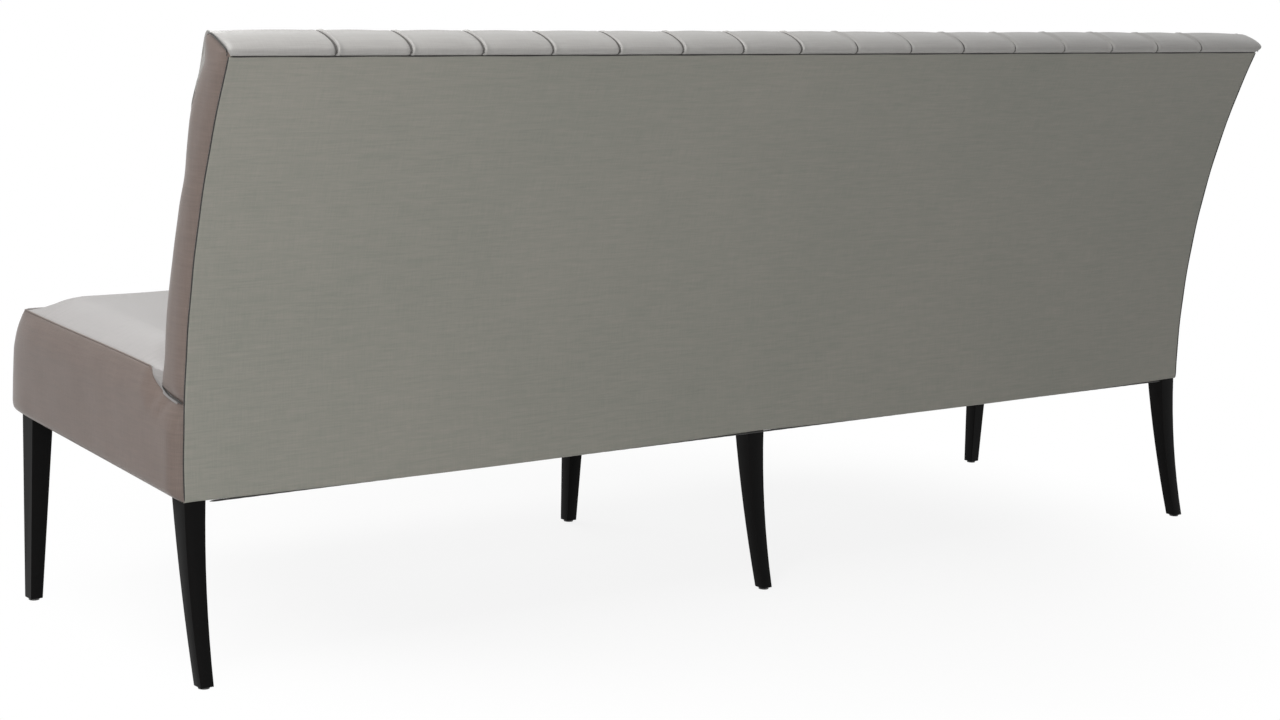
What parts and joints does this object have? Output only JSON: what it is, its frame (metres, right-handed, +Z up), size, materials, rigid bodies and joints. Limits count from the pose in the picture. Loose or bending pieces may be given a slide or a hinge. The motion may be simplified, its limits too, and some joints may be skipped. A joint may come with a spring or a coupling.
{
  "type": "upholstered banquette bench",
  "caption": "Long free-standing banquette bench with a padded seat, a flared button-tufted back with a rolled top, and tapered black wooden legs.",
  "frame": {"origin": "on the floor, in the middle of the bench's length and of its overall depth", "axes": "+X along the length towards the left end as seated, -Y towards the front, +Z up"},
  "size_m": [2.28, 0.7156, 0.9828],
  "materials": {
    "black_lacquered_wood": "black stained and lacquered beech, satin",
    "glide_plastic": "black nylon",
    "frame_wood": "sawn beech, unfinished",
    "screw_steel": "zinc-plated steel",
    "dowel_wood": "turned beech",
    "plywood": "bent birch plywood",
    "hardboard": "hardboard",
    "tack_card": "pressed cardboard strip",
    "elastic_webbing": "woven elastic webbing",
    "hessian": "hessian",
    "foam": "polyurethane foam",
    "twine": "waxed twine",
    "washer_plastic": "moulded plastic",
    "tufted_leather": "light grey faux leather with a fine woven emboss and a soft sheen",
    "seat_leather": "lilac-grey faux leather with a fine woven emboss and a soft sheen",
    "side_leather": "pinkish taupe faux leather with a fine woven emboss and a soft sheen",
    "outside_back_leather": "greenish grey faux leather with a fine woven emboss",
    "dust_cloth": "black non-woven cloth"
  },
  "bodies": {
    "root": {"front_leg_left": "black_lacquered_wood", "front_leg_middle": "black_lacquered_wood", "front_leg_right": "black_lacquered_wood", "rear_leg_left": "black_lacquered_wood", "rear_leg_middle": "black_lacquered_wood", "rear_leg_right": "black_lacquered_wood", "glides": "glide_plastic", "front_rail_left": "frame_wood", "front_rail_right": "frame_wood", "rear_rail_left": "frame_wood", "rear_rail_right": "frame_wood", "side_rail_left": "frame_wood", "side_rail_right": "frame_wood", "middle_rail": "frame_wood", "corner_blocks": "frame_wood", "corner_block_screws": "screw_steel", "frame_dowels": "dowel_wood", "back_top_rail": "frame_wood", "back_lower_rail_left": "frame_wood", "back_lower_rail_right": "frame_wood", "back_stile_outer_left": "frame_wood", "back_stile_inner_left": "frame_wood", "back_stile_inner_right": "frame_wood", "back_stile_outer_right": "frame_wood", "inside_back_board": "plywood", "outside_back_board": "hardboard", "top_tack_strip": "tack_card", "seat_webbing": "elastic_webbing", "seat_lining": "hessian", "seat_foam": "foam", "back_foam": "foam", "button_ties": "twine", "button_washers": "washer_plastic", "tuft_buttons": "tufted_leather", "seat_top_cover": "seat_leather", "seat_front_cover": "seat_leather", "seat_side_cover_left": "side_leather", "seat_side_cover_right": "side_leather", "inside_back_cover": "tufted_leather", "back_side_cover_left": "side_leather", "back_side_cover_right": "side_leather", "outside_back_cover": "outside_back_leather", "dust_cover": "dust_cloth"}
  },
  "joints": []
}
